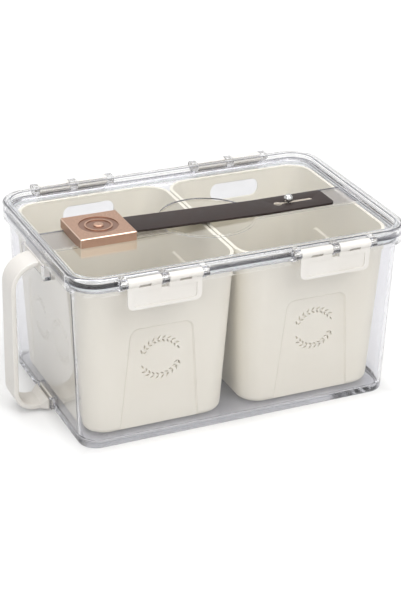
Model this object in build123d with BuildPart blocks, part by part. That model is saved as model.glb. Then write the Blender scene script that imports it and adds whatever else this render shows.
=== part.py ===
from build123d import *
import os
from math import atan2, cos, radians, sin, sqrt, tan

# A fridge storage container in millimetres: a clear tub with a carrying handle at one end,
# a clear lid held by four swinging latches, a strap and a badge in the lid's groove, and
# two vented bins side by side in the tub.
# +Z is up, +X runs along the tub, the handle is at -X and the front is at -Y.
# The origin is the centre of the tub's resting face.

# Tub, measured outside its walls at the rim
tub_length = 304.2
tub_width = 197.8
tub_height = 150.8
tub_corner = 22.0
tub_foot_corner = 17.0
tub_draft = 2.0
tub_wall = 3.0
tub_floor = 5.0
tub_foot_round = 2.0
tub_floor_round = 4.0
flange_overhang = 2.0
flange_thickness = 4.0

# Lid
skirt_gap = 0.4
skirt_wall = 2.7
skirt_lift = 0.6
skirt_round = 1.8
rim_width = 7.2
rim_roof = 3.0
rim_round = 2.4
rim_inner_round = 0.8
drop_wall = 2.5
recess_depth = 7.2
recess_round = 3.0
panel_thickness = 2.6
groove_depth = 1.2
groove_floor = 1.8
groove_round = 5.0
groove_width = 36.0
groove_rib = 2.0
well_radius = 42.5
well_place = 5.0

# Seal under the lid's rim
seal_height = 3.2
seal_width = 2.6
seal_gap = 0.2

# Strap along the groove, rising to the badge, with its keyhole slot and the stud through it
strap_width = 31.5
strap_thickness = 2.0
strap_gap = 0.2
strap_end = 126.0
strap_corner = 4.5
strap_rise = 3.4
strap_rise_start = 58.0
strap_lead = 5.0
strap_bend = 300.0
slot_width = 3.6
slot_start = 76.0
slot_end = 108.4
keyhole_radius = 3.9
stud_place = 86.5
stud_neck_radius = 1.5
stud_head_radius = 4.25
stud_head_height = 6.2
stud_head_lift = 1.6
stud_belly_angle = 20.0

# Square metal badge over the strap's fixed end, with a medal of plain rings
badge_length = 52.0
badge_width = 51.0
badge_height = 8.4
badge_place = -97.2
badge_corner = 1.2
badge_bevel = 0.8
badge_foot_gap = 0.4
tunnel_gap = 0.3
strap_tuck = 44.0
medal_radius = 17.5
medal_depth = 0.7
medal_ring_radius = 12.5
medal_ring_width = 1.6
medal_boss_radius = 4.6
medal_boss_height = 1.5
medal_boss_round = 1.2

# Small screws, driven up through the floor of the groove
screw_radius = 1.25
screw_head_radius = 2.6
screw_head_height = 1.0
screw_bite = 2.2
screw_spacing = 24.0
screw_clearance = 0.15
stud_screw_radius = 0.8
stud_screw_head_radius = 2.2
stud_screw_bite = 3.4

# Latches, two at the front and two at the back
latch_place = 78.8
latch_shift = -2.8
latch_length = 66.0
latch_drop = 24.0
latch_plate = 2.2
flap_setback = 2.0
latch_corner = 5.5
latch_border = 4.4
latch_border_foot = 2.6
latch_field_depth = 0.7
latch_step_depth = 0.25
latch_step_drop = 14.0
latch_shoulder_drop = 8.0
barrel_radius = 4.0
pin_radius = 1.0
pin_running_gap = 0.05
pin_recess = 0.6
pivot_standoff = 5.6
pivot_drop = 4.4
lug_length = 5.5
mid_lug_length = 6.5
lug_radius = 4.3
lug_gusset = 4.6
knuckle_gap = 0.3
window_length = 10.6
window_height = 2.8
window_place = 18.0
window_drop = 2.6
hook_width = 40.0
hook_thickness = 2.8
hook_engagement = 2.5
catch_depth = 3.9
catch_proud = 1.9
catch_gap = 0.3
catch_margin = 2.5

# Handle, and the rails on the tub that hold its plate and its tongue
handle_width = 26.0
handle_thickness = 4.5
handle_reach = 29.9
handle_step = 1.0
handle_foot_lift = 2.8
handle_top_bend = 25.0
handle_foot_bend = 20.0
handle_edge_round = 1.2
plate_width = 50.0
plate_thickness = 4.6
plate_height = 10.0
plate_gap = 0.25
tongue_thickness = 1.8
tongue_height = 10.0
tongue_lift = 3.0
rail_width = 3.4
rail_lip = 2.0
rail_lip_thickness = 1.3
rail_stop_thickness = 2.2
flare_width = 32.0
flare_length = 6.5
flare_height = 9.0
flare_land = 1.2

# Bins, measured outside at the rim
bin_wall = 2.4
bin_floor = 2.4
bin_side_gap = 2.85
bin_spacing = 1.5
bin_front_gap = 7.9
bin_back_gap = 5.9
bin_head_gap = 0.6
bin_seat_gap = 0.3
bin_side_draft = 7.5
bin_end_draft = 6.5
bin_corner = 22.0
bin_foot_corner = 21.0
bin_foot_round = 6.0
bin_floor_round = 3.0
bin_rim_width = 3.0
bin_rim_height = 3.2
hand_hole_width = 50.0
hand_hole_height = 17.0
hand_hole_drop = 7.5
hand_hole_corner = 8.0
panel_jog = 1.6
panel_rise = 32.5
panel_front_width = 58.0
panel_side_width = 98.0
panel_flare = 0.083
panel_corner = 9.0

# Laurel vents: two leafy arcs of pierced leaves
wreath_height = 72.0
wreath_spacing = 52.0
stem_radius = 17.6
stem_start = 161.0
stem_end = 30.0
leaf_pairs = 9
outer_leaf_length = 5.2
inner_leaf_length = 4.3
leaf_width = 1.9
leaf_belly = 0.125
leaf_lean = 40.0
leaf_stem_gap = 0.35

# Levels, faces and half sizes that follow from the sizes above
draft_run = tan(radians(tub_draft))
flange_level = tub_height - flange_thickness
skirt_bottom = flange_level + skirt_lift
panel_underside = tub_height + seal_gap + seal_height
panel_top = panel_underside + panel_thickness
lid_top = panel_top + recess_depth
groove_level = panel_top - groove_depth
groove_underside = groove_level - groove_floor
lid_overhang = flange_overhang + skirt_gap + skirt_wall
lid_half_length = tub_length / 2 + lid_overhang
lid_half_width = tub_width / 2 + lid_overhang
lid_corner = tub_corner + lid_overhang
groove_end = lid_half_length - rim_width - recess_round
strap_level = groove_level + strap_gap
strap_top = strap_level + strap_thickness
badge_end = badge_place + badge_length / 2
strap_start = badge_end - strap_tuck
tuck_level = strap_level + strap_rise
tunnel_floor = tuck_level - tunnel_gap
tunnel_roof = tuck_level + strap_thickness + tunnel_gap
badge_top = panel_top + badge_height
screw_places = [badge_place - screw_spacing / 2, badge_place + screw_spacing / 2]
head_level = strap_top + stud_head_lift
pivot_level = lid_top - pivot_drop
pivot_offset = lid_half_width + pivot_standoff
latch_centres = (latch_shift - latch_place, latch_shift + latch_place)
barrel_face = pivot_offset + barrel_radius
latch_face = barrel_face - flap_setback
latch_back = latch_face - latch_plate
latch_foot = pivot_level - latch_drop
latch_shoulder = pivot_level - latch_shoulder_drop
catch_level = flange_level - catch_depth
catch_face = lid_half_width + catch_proud
hinge_half_length = latch_length / 2 + knuckle_gap + lug_length
pin_bore = pin_radius + pin_running_gap
plate_top = flange_level - plate_gap
plate_low = plate_top - plate_height
tongue_width = handle_width + 2 * rail_lip
bin_level = tub_floor + bin_seat_gap
bin_top = groove_underside - bin_head_gap
bin_height = bin_top - bin_level
bin_length = (tub_length - 2 * tub_wall - 2 * bin_side_gap - bin_spacing) / 2
bin_width = tub_width - 2 * tub_wall - bin_front_gap - bin_back_gap
bin_place = (bin_length + bin_spacing) / 2
bin_middle = (bin_front_gap - bin_back_gap) / 2
bin_rim_step = bin_rim_width - bin_wall


def edges_at(part, level):
    """Edges that lie wholly at one level."""
    return part.edges().filter_by_position(Axis.Z, level - 0.01, level + 0.01)


def face_at(part, level):
    """The face that lies flat at one level."""
    return part.faces().filter_by_position(Axis.Z, level - 0.01, level + 0.01)[0]


def tub_half_length(level):
    """Half of the tub's outside length at a level above its resting face."""
    return tub_length / 2 - (tub_height - level) * draft_run


def tub_half_width(level):
    """Half of the tub's outside width at a level above its resting face."""
    return tub_width / 2 - (tub_height - level) * draft_run


def tub_outline(level, inset, corner):
    """Rounded plan of the tub's wall at a level, drawn in by an inset."""
    length = 2 * (tub_half_length(level) - inset)
    width = 2 * (tub_half_width(level) - inset)
    RectangleRounded(length, width, corner - inset)


def lid_outline(inset, mode=Mode.ADD):
    """Rounded plan of the lid, drawn in from its outer face by an inset."""
    length = 2 * (lid_half_length - inset)
    width = 2 * (lid_half_width - inset)
    RectangleRounded(length, width, lid_corner - inset, mode=mode)


def span_rectangle(x_low, x_high, y_low, y_high, mode=Mode.ADD):
    """Rectangle given by its limits."""
    with Locations(((x_low + x_high) / 2, (y_low + y_high) / 2)):
        Rectangle(x_high - x_low, y_high - y_low, mode=mode)


def end_block(low, high, near, far, y_low, y_high):
    """Block on the handle end's sloping wall, between two offsets from its outer face."""
    with BuildSketch(Plane.XZ.offset(-y_high)) as profile:
        Polygon(
            (-tub_half_length(low) - near, low),
            (-tub_half_length(high) - near, high),
            (-tub_half_length(high) - far, high),
            (-tub_half_length(low) - far, low),
            align=None,
        )
    extrude(profile.sketch, amount=y_high - y_low)


def handle_rails(low, high, held_thickness, held_width):
    """Two rails with lips that hold the sides of a handle plate against the end wall."""
    face = held_thickness + 2 * plate_gap
    rail_start = held_width / 2 + plate_gap
    rail_finish = rail_start + rail_width
    lip_start = rail_start - rail_lip
    for side in (-1, 1):
        end_block(low, high, -tub_wall / 2, face, *sorted((side * rail_start, side * rail_finish)))
        lip_span = sorted((side * lip_start, side * rail_finish))
        end_block(low, high, face, face + rail_lip_thickness, *lip_span)


def make_tub():
    """Clear tub: drafted walls, a rim flange, latch catches and the handle's rails."""
    with BuildPart() as tub:
        with BuildSketch(Plane.XY):
            tub_outline(0, 0, tub_foot_corner)
        with BuildSketch(Plane.XY.offset(tub_height)):
            tub_outline(tub_height, 0, tub_corner)
        loft(ruled=True)
        fillet(edges_at(tub, 0), tub_foot_round)
        with BuildSketch(Plane.XY.offset(flange_level)):
            tub_outline(tub_height, -flange_overhang, tub_corner)
        extrude(amount=flange_thickness)
        with BuildSketch(Plane.XY.offset(tub_floor)):
            tub_outline(tub_floor, tub_wall, tub_foot_corner)
        with BuildSketch(Plane.XY.offset(tub_height)):
            tub_outline(tub_height, tub_wall, tub_corner)
        loft(ruled=True, mode=Mode.SUBTRACT)
        fillet(edges_at(tub, tub_floor), tub_floor_round)
        catch_root = tub_half_width(catch_level) - tub_wall / 2
        catch_run = catch_face - catch_root
        catch_middle = (catch_root + catch_face) / 2
        with BuildSketch(Plane.XY.offset(catch_level)):
            with Locations(*[(x, y) for x in latch_centres for y in (-catch_middle, catch_middle)]):
                Rectangle(hook_width + 2 * catch_margin, catch_run)
        extrude(amount=catch_depth)
        rail_reach = plate_width / 2 + plate_gap + rail_width
        stop_top = plate_low - plate_gap
        stop_low = stop_top - rail_stop_thickness
        handle_rails(stop_low, flange_level, plate_thickness, plate_width)
        end_block(stop_low, stop_top, -tub_wall / 2, plate_thickness, -rail_reach, rail_reach)
        handle_rails(tongue_lift, tongue_lift + tongue_height, tongue_thickness, tongue_width)
    return tub


def groove_outline(margin, end):
    """Plan of the lid's groove: a round finger well crossed by the strap's channel."""
    half_width = groove_width / 2 + margin
    with Locations((well_place, 0)):
        Circle(well_radius + margin)
    span_rectangle(-end, end, -half_width, half_width)
    well_span = (well_place - well_radius, well_place + well_radius)
    fillet(vertices().filter_by_position(Axis.X, *well_span), groove_round)


def latch_lug(start, length, side):
    """Lug that stands out of the lid's skirt and holds a latch's pin."""
    root = side * (lid_half_width - skirt_wall / 2)
    pivot = side * pivot_offset
    with BuildSketch(Plane.YZ.offset(start)) as profile:
        with Locations((pivot, pivot_level)):
            Circle(lug_radius)
        span_rectangle(*sorted((root, pivot)), pivot_level - lug_radius, pivot_level + lug_radius)
        Polygon(
            (root, pivot_level - lug_radius - lug_gusset),
            (side * lid_half_width, pivot_level - lug_radius - lug_gusset),
            (pivot, pivot_level - lug_radius),
            (root, pivot_level - lug_radius),
            align=None,
        )
    extrude(profile.sketch, amount=length)


def make_lid():
    """Clear lid: raised rim over a hanging skirt, sunk panel, strap groove and latch lugs."""
    with BuildPart() as lid:
        with BuildSketch(Plane.XY.offset(skirt_bottom)):
            lid_outline(0)
        extrude(amount=lid_top - skirt_bottom)
        fillet(edges_at(lid, skirt_bottom), skirt_round)
        fillet(edges_at(lid, lid_top), rim_round)
        with BuildSketch(Plane.XY.offset(panel_top)):
            lid_outline(rim_width)
        extrude(amount=recess_depth, mode=Mode.SUBTRACT)
        fillet(edges_at(lid, panel_top), recess_round)
        fillet(face_at(lid, lid_top).inner_wires()[0].edges(), rim_inner_round)
        with BuildSketch(Plane.XY.offset(skirt_bottom)):
            lid_outline(skirt_wall)
        extrude(amount=panel_underside - skirt_bottom, mode=Mode.SUBTRACT)
        with BuildSketch(Plane.XY.offset(panel_underside)):
            lid_outline(skirt_wall)
            lid_outline(rim_width - drop_wall, mode=Mode.SUBTRACT)
        extrude(amount=lid_top - rim_roof - panel_underside, mode=Mode.SUBTRACT)
        with BuildSketch(Plane.XY.offset(groove_underside)):
            groove_outline(groove_rib, groove_end)
        extrude(amount=panel_underside - groove_underside)
        with BuildSketch(Plane.XY.offset(groove_level)):
            groove_outline(0, groove_end)
        extrude(amount=groove_depth, mode=Mode.SUBTRACT)
        for place in screw_places:
            with Locations((place, 0, groove_level)):
                Hole(screw_radius + screw_clearance, depth=groove_floor)
        with Locations((stud_place, 0, groove_level)):
            Hole(stud_screw_radius + screw_clearance, depth=groove_floor)
        for side in (-1, 1):
            for centre in latch_centres:
                latch_lug(centre - hinge_half_length, lug_length, side)
                latch_lug(centre - mid_lug_length / 2, mid_lug_length, side)
                latch_lug(centre + hinge_half_length - lug_length, lug_length, side)
                with BuildSketch(Plane.YZ.offset(centre - hinge_half_length)):
                    with Locations((side * pivot_offset, pivot_level)):
                        Circle(pin_bore)
                extrude(amount=2 * hinge_half_length, mode=Mode.SUBTRACT)
    return lid


def make_seal():
    """Soft ring between the tub's rim and the underside of the lid."""
    inset = (tub_wall - seal_width) / 2
    with BuildPart() as seal:
        with BuildSketch(Plane.XY.offset(tub_height + seal_gap)):
            tub_outline(tub_height, inset, tub_corner)
            inner = inset + seal_width
            inner_length = tub_length - 2 * inner
            inner_width = tub_width - 2 * inner
            RectangleRounded(inner_length, inner_width, tub_corner - inner, mode=Mode.SUBTRACT)
        extrude(amount=seal_height)
    return seal


def strap_route(level):
    """Corners of one face of the strap seen from the side, from the free end to the badge."""
    return (
        (strap_end, level),
        (strap_rise_start, level),
        (badge_end + strap_lead, level + strap_rise),
        (strap_start, level + strap_rise),
    )


def make_strap():
    """Strap that rises gently to the badge, with a rounded free end and a keyhole slot."""
    with BuildPart() as strap:
        with BuildSketch(Plane.XZ.offset(-strap_width / 2)):
            with BuildLine():
                FilletPolyline(*strap_route(strap_level), radius=strap_bend)
                Line((strap_start, tuck_level), (strap_start, tuck_level + strap_thickness))
                FilletPolyline(*strap_route(strap_top), radius=strap_bend)
                Line((strap_end, strap_top), (strap_end, strap_level))
            make_face()
        extrude(amount=strap_width)
        fillet(strap.edges().filter_by(Axis.Z).group_by(Axis.X)[-1], strap_corner)
        with BuildSketch(Plane.XY.offset(strap_level)):
            with Locations((slot_start, 0), (slot_end, 0)):
                Circle(slot_width / 2)
            span_rectangle(slot_start, slot_end, -slot_width / 2, slot_width / 2)
            with Locations((slot_start, 0)):
                Circle(keyhole_radius)
        extrude(amount=strap_thickness, mode=Mode.SUBTRACT)
        with BuildSketch(Plane.XY.offset(tuck_level)):
            with Locations(*[(place, 0) for place in screw_places]):
                Circle(screw_radius + screw_clearance)
        extrude(amount=strap_thickness, mode=Mode.SUBTRACT)
    return strap


def make_badge():
    """Square badge with a sunk medal of rings, a foot in the groove and the strap's tunnel."""
    foot_half_width = groove_width / 2 - badge_foot_gap
    tunnel_half_width = strap_width / 2 + tunnel_gap
    with BuildPart() as badge:
        with BuildSketch(Plane.XY.offset(panel_top)):
            with Locations((badge_place, 0)):
                RectangleRounded(badge_length, badge_width, badge_corner)
        extrude(amount=badge_height)
        chamfer(edges_at(badge, badge_top), badge_bevel)
        with BuildSketch(Plane.XY.offset(groove_level)):
            foot_span = (badge_end - badge_length, badge_end)
            span_rectangle(*foot_span, -foot_half_width, foot_half_width)
        extrude(amount=groove_depth)
        with BuildSketch(Plane.XY.offset(badge_top)):
            with Locations((badge_place, 0)):
                Circle(medal_radius)
                Circle(medal_ring_radius, mode=Mode.SUBTRACT)
                Circle(medal_ring_radius - medal_ring_width)
        extrude(amount=-medal_depth, mode=Mode.SUBTRACT)
        with BuildSketch(Plane.XY.offset(badge_top - medal_depth)):
            with Locations((badge_place, 0)):
                Circle(medal_boss_radius)
        extrude(amount=medal_boss_height)
        boss_top = badge_top - medal_depth + medal_boss_height
        fillet(edges_at(badge, boss_top), medal_boss_round)
        with BuildSketch(Plane.XY.offset(tunnel_floor)):
            tunnel_span = (strap_start - tunnel_gap, badge_end)
            span_rectangle(*tunnel_span, -tunnel_half_width, tunnel_half_width)
        extrude(amount=tunnel_roof - tunnel_floor, mode=Mode.SUBTRACT)
        with BuildSketch(Plane.XY.offset(groove_level)):
            with Locations(*[(place, 0) for place in screw_places]):
                Circle(screw_radius + screw_clearance)
        extrude(amount=tunnel_roof + screw_bite - groove_level, mode=Mode.SUBTRACT)
    return badge


def make_stud():
    """Ball stud: a thin neck through the strap's slot under a round head, tapped below."""
    head_top = head_level + stud_head_height
    ball_level = head_top - stud_head_radius
    head_foot = sqrt(stud_head_radius**2 - (ball_level - head_level) ** 2)
    belly = radians(stud_belly_angle)
    with BuildPart() as stud:
        with BuildSketch(Plane.XZ):
            with BuildLine():
                Polyline(
                    (stud_place, head_top),
                    (stud_place, groove_level),
                    (stud_place + stud_neck_radius, groove_level),
                    (stud_place + stud_neck_radius, head_level),
                    (stud_place + head_foot, head_level),
                )
                ThreePointArc(
                    (stud_place + head_foot, head_level),
                    (
                        stud_place + stud_head_radius * cos(belly),
                        ball_level + stud_head_radius * sin(belly),
                    ),
                    (stud_place, head_top),
                )
            make_face()
        revolve(axis=Axis((stud_place, 0, 0), (0, 0, 1)))
        with BuildSketch(Plane.XY.offset(groove_level)):
            with Locations((stud_place, 0)):
                Circle(stud_screw_radius + screw_clearance)
        extrude(amount=stud_screw_bite, mode=Mode.SUBTRACT)
    return stud


def screw(place, radius, head_radius, tip):
    """Pan head screw driven up from below the groove's floor."""
    with BuildSketch(Plane.XY.offset(groove_underside - screw_head_height)) as head:
        with Locations((place, 0)):
            Circle(head_radius)
    extrude(head.sketch, amount=screw_head_height)
    with BuildSketch(Plane.XY.offset(groove_underside)) as shank:
        with Locations((place, 0)):
            Circle(radius)
    extrude(shank.sketch, amount=tip - groove_underside)


def make_badge_screws():
    """The two screws that clamp the badge and the strap's end to the lid."""
    with BuildPart() as screws:
        for place in screw_places:
            screw(place, screw_radius, screw_head_radius, tunnel_roof + screw_bite - screw_clearance)
    return screws


def make_stud_screw():
    """The screw that holds the stud."""
    with BuildPart() as stud_screw:
        tip = groove_level + stud_screw_bite - screw_clearance
        screw(stud_place, stud_screw_radius, stud_screw_head_radius, tip)
    return stud_screw


def make_latch_pins():
    """Plain steel pins, one through the lugs and barrels of each latch."""
    half_length = hinge_half_length - pin_recess
    with BuildPart() as pins:
        for centre in latch_centres:
            with BuildSketch(Plane.YZ.offset(centre - half_length)):
                with Locations((-pivot_offset, pivot_level), (pivot_offset, pivot_level)):
                    Circle(pin_radius)
            extrude(amount=2 * half_length)
    return pins


def make_latch(centre, side):
    """Swinging latch: two hinge barrels over a flap whose hook catches under the tub's catch."""
    start = centre - latch_length / 2
    face = Plane((centre, side * latch_face, 0), x_dir=(-side, 0, 0), z_dir=(0, side, 0))
    front = face.offset(flap_setback)
    field_width = latch_length - 2 * latch_border
    field_top = latch_shoulder
    field_foot = latch_foot + latch_border_foot
    step_level = pivot_level - latch_step_drop
    notch = mid_lug_length / 2 + knuckle_gap
    hook_top = catch_level - catch_gap
    hook_tip = catch_face - hook_engagement
    with BuildPart() as latch:
        with BuildSketch(Plane.YZ.offset(start)):
            with Locations((side * pivot_offset, pivot_level)):
                Circle(barrel_radius)
            plate_span = sorted((side * latch_back, side * latch_face))
            span_rectangle(*plate_span, latch_foot, pivot_level)
        extrude(amount=latch_length)
        foot_edges = latch.edges().filter_by(Axis.Y).group_by(Axis.Z)[0]
        fillet(foot_edges, latch_corner)
        with BuildSketch(face):
            span_rectangle(-field_width / 2, field_width / 2, field_foot, field_top)
            fillet(vertices().group_by(Axis.Y)[0], latch_corner - latch_border_foot)
        extrude(amount=-latch_field_depth, mode=Mode.SUBTRACT)
        with BuildSketch(face):
            span_rectangle(-field_width / 2, field_width / 2, field_foot, step_level)
            fillet(vertices().group_by(Axis.Y)[0], latch_corner - latch_border_foot)
        extrude(amount=-latch_field_depth - latch_step_depth, mode=Mode.SUBTRACT)
        with BuildSketch(Plane.XY.offset(latch_shoulder)):
            span_rectangle(centre - notch, centre + notch, *sorted((0, side * 2 * barrel_face)))
        extrude(amount=lid_top - latch_shoulder, mode=Mode.SUBTRACT)
        with BuildSketch(front):
            with Locations(
                (-window_place, pivot_level - window_drop),
                (window_place, pivot_level - window_drop),
            ):
                Rectangle(window_length, window_height)
        extrude(amount=-barrel_radius, mode=Mode.SUBTRACT)
        with BuildSketch(Plane.YZ.offset(start)):
            with Locations((side * pivot_offset, pivot_level)):
                Circle(pin_bore)
        extrude(amount=latch_length, mode=Mode.SUBTRACT)
        with BuildSketch(Plane.YZ.offset(centre - hook_width / 2)):
            hook_span = sorted((side * hook_tip, side * (latch_back + latch_plate / 2)))
            span_rectangle(*hook_span, hook_top - hook_thickness, hook_top)
        extrude(amount=hook_width)
    return latch


def make_handle():
    """Carrying handle: a bent strip between a plate under the rim and a flared foot."""
    tongue_top = tongue_lift + tongue_height
    lip_face = tongue_thickness + 2 * plate_gap + rail_lip_thickness
    flare_top = handle_foot_lift + flare_height
    flare_near = -tub_half_length(flare_top) - lip_face - plate_gap
    flare_far = flare_near - flare_length
    arm_top = plate_top - handle_step
    arm_foot = handle_foot_lift
    outer = -tub_length / 2 - handle_reach
    inner = outer + handle_thickness
    plate_middle = -tub_half_length(arm_top) - plate_gap - plate_thickness / 2
    tongue_middle = -tub_half_length(arm_foot) - plate_gap - tongue_thickness / 2
    with BuildPart() as flare:
        with BuildSketch(Plane.XZ.offset(-flare_width / 2)):
            with BuildLine():
                Polyline(
                    (flare_near, arm_foot),
                    (flare_near, flare_top),
                    (flare_near - flare_land, flare_top),
                    (flare_far, arm_foot + handle_thickness),
                    (flare_far, arm_foot),
                    close=True,
                )
            make_face()
        extrude(amount=flare_width)
        with BuildSketch(Plane.XY):
            with BuildLine():
                Polyline(
                    (flare_far, handle_width / 2),
                    (flare_far, -handle_width / 2),
                    (flare_near - flare_land, -flare_width / 2),
                    (flare_near, -flare_width / 2),
                    (flare_near, flare_width / 2),
                    (flare_near - flare_land, flare_width / 2),
                    close=True,
                )
            make_face()
        extrude(amount=flare_top, mode=Mode.INTERSECT)
    with BuildPart() as handle:
        with BuildSketch(Plane.XZ.offset(-handle_width / 2)):
            with BuildLine():
                FilletPolyline(
                    (plate_middle, arm_top),
                    (outer, arm_top),
                    (outer, arm_foot),
                    (tongue_middle, arm_foot),
                    radius=[handle_top_bend, handle_foot_bend],
                )
                Line((tongue_middle, arm_foot), (tongue_middle, arm_foot + handle_thickness))
                FilletPolyline(
                    (tongue_middle, arm_foot + handle_thickness),
                    (inner, arm_foot + handle_thickness),
                    (inner, arm_top - handle_thickness),
                    (plate_middle, arm_top - handle_thickness),
                    radius=[handle_foot_bend - handle_thickness, handle_top_bend - handle_thickness],
                )
                Line((plate_middle, arm_top - handle_thickness), (plate_middle, arm_top))
            make_face()
        extrude(amount=handle_width)
        sides = handle.faces().filter_by(Axis.Y)
        fillet(sides.edges(), handle_edge_round)
        add(flare.part)
        half_plate = plate_width / 2
        end_block(plate_low, plate_top, plate_gap, plate_gap + plate_thickness, -half_plate, half_plate)
        half_tongue = tongue_width / 2
        tongue_face = plate_gap + tongue_thickness
        end_block(tongue_lift, tongue_top, plate_gap, tongue_face, -half_tongue, half_tongue)
    return handle


def bin_fraction(level):
    """How far down a bin a level lies, from 0 at its rim to 1 at its foot."""
    return (bin_top - level) / bin_height


def bin_half_length(level):
    """Half of a bin wall's outside length at a level."""
    return bin_length / 2 - bin_rim_step - bin_side_draft * bin_fraction(level)


def bin_half_width(level):
    """Half of a bin wall's outside width at a level."""
    return bin_width / 2 - bin_rim_step - bin_end_draft * bin_fraction(level)


def bin_outline(level, inset, place):
    """Rounded plan of a bin's wall at a level, drawn in by an inset."""
    corner = bin_corner - (bin_corner - bin_foot_corner) * bin_fraction(level)
    with Locations((place, bin_middle)):
        RectangleRounded(
            2 * (bin_half_length(level) - inset),
            2 * (bin_half_width(level) - inset),
            corner - inset,
        )


def bin_wall_plane(place, along_x, along_y):
    """Plane on a bin's sloping outer face, centred at the height of the laurel vents."""
    draft = bin_side_draft if along_x else bin_end_draft
    tilt = atan2(draft, bin_height)
    centre = (
        place + along_x * bin_half_length(wreath_height),
        bin_middle + along_y * bin_half_width(wreath_height),
        wreath_height,
    )
    normal = (along_x * cos(tilt), along_y * cos(tilt), -sin(tilt))
    return Plane(centre, x_dir=(-along_y, along_x, 0), z_dir=normal)


def panel_outline(top_width, foot, inset):
    """Tapered panel with two rounded upper corners, down to a foot below the vents."""
    half_top = top_width / 2 - inset
    half_foot = half_top + panel_flare * (panel_rise - foot)
    Polygon(
        (-half_top, panel_rise - inset),
        (half_top, panel_rise - inset),
        (half_foot, foot),
        (-half_foot, foot),
        align=None,
    )
    fillet(vertices().group_by(Axis.Y)[-1], panel_corner - inset)


def panel_step(plane, top_width, foot, mode):
    """Sloping-sided step of one jog from a plane inwards, over a panel's outline."""
    with BuildSketch(plane) as near:
        panel_outline(top_width, foot, 0)
    with BuildSketch(plane.offset(-panel_jog)) as far:
        panel_outline(top_width, foot, panel_jog)
    loft([near.sketch, far.sketch], ruled=True, mode=mode)


def jogged_panel(plane, top_width):
    """Panel of a bin's wall set inwards by a small jog, with the wall as thick as before."""
    inner_foot = bin_level + bin_floor / 2 - wreath_height
    panel_step(plane.offset(-bin_wall), top_width, inner_foot, Mode.ADD)
    panel_step(plane, top_width, inner_foot - bin_floor, Mode.SUBTRACT)


def leaf(length):
    """One pierced leaf, pointed at both ends."""
    Polygon(
        (-length / 2, 0),
        (-leaf_belly * length, -leaf_width / 2),
        (length / 2, 0),
        (-leaf_belly * length, leaf_width / 2),
        align=None,
    )


def laurel(plane, shift):
    """Laurel vent: an upper arc of paired leaves, and the same arc turned below it."""
    step = (stem_start - stem_end) / leaf_pairs
    pair = ((leaf_lean, outer_leaf_length), (-leaf_lean, inner_leaf_length))
    tip = ((0, inner_leaf_length),)
    with BuildSketch(plane) as leaves:
        for turn in (0, 180):
            for index in range(leaf_pairs + 1):
                angle = stem_start - index * step + turn
                for lean, length in pair if index < leaf_pairs else tip:
                    heading = angle - 90 + lean
                    reach = leaf_stem_gap + length / 2
                    x = stem_radius * cos(radians(angle)) + reach * cos(radians(heading))
                    y = stem_radius * sin(radians(angle)) + reach * sin(radians(heading))
                    with Locations(Location((shift + x, y, 0), (0, 0, heading))):
                        leaf(length)
    extrude(leaves.sketch, amount=-(bin_wall + 2 * panel_jog), mode=Mode.SUBTRACT)


def make_bin(place):
    """Vented bin: drafted walls with jogged panels, laurel vents and a hand hole at the back."""
    inner_level = bin_level + bin_floor
    with BuildPart() as vented_bin:
        with BuildSketch(Plane.XY.offset(bin_level)):
            bin_outline(bin_level, 0, place)
        with BuildSketch(Plane.XY.offset(bin_top)):
            bin_outline(bin_top, 0, place)
        loft(ruled=True)
        fillet(edges_at(vented_bin, bin_level), bin_foot_round)
        with BuildSketch(Plane.XY.offset(bin_top - bin_rim_height)):
            bin_outline(bin_top, -bin_rim_step, place)
        extrude(amount=bin_rim_height)
        with BuildSketch(Plane.XY.offset(inner_level)):
            bin_outline(inner_level, bin_wall, place)
        with BuildSketch(Plane.XY.offset(bin_top)):
            bin_outline(bin_top, bin_wall, place)
        loft(ruled=True, mode=Mode.SUBTRACT)
        fillet(edges_at(vented_bin, inner_level), bin_floor_round)
        front = bin_wall_plane(place, 0, -1)
        left = bin_wall_plane(place, -1, 0)
        right = bin_wall_plane(place, 1, 0)
        jogged_panel(front, panel_front_width)
        jogged_panel(left, panel_side_width)
        jogged_panel(right, panel_side_width)
        laurel(front, 0)
        for wall in (left, right):
            for shift in (-wreath_spacing / 2, wreath_spacing / 2):
                laurel(wall, shift)
        hole_level = bin_top - hand_hole_drop - hand_hole_height / 2
        back = bin_middle + bin_width / 2
        with BuildSketch(Plane.XZ.offset(-back)):
            with Locations((place, hole_level)):
                RectangleRounded(hand_hole_width, hand_hole_height, hand_hole_corner)
        extrude(amount=bin_corner, mode=Mode.SUBTRACT)
    return vented_bin


os.makedirs("parts", exist_ok=True)

pieces = {
    "tub": make_tub(),
    "handle": make_handle(),
    "lid": make_lid(),
    "lid_seal": make_seal(),
    "strap": make_strap(),
    "badge": make_badge(),
    "badge_screws": make_badge_screws(),
    "strap_stud": make_stud(),
    "stud_screw": make_stud_screw(),
    "latch_pins": make_latch_pins(),
    "latch_front_left": make_latch(latch_centres[0], -1),
    "latch_front_right": make_latch(latch_centres[1], -1),
    "latch_back_left": make_latch(latch_centres[0], 1),
    "latch_back_right": make_latch(latch_centres[1], 1),
    "bin_left": make_bin(-bin_place),
    "bin_right": make_bin(bin_place),
}

for name, piece in pieces.items():
    piece.part.label = name
    export_step(piece.part, f"parts/{name}.step")
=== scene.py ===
"""Clear fridge storage container with two vented bins: looks, stage and camera round its CAD frame."""

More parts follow.
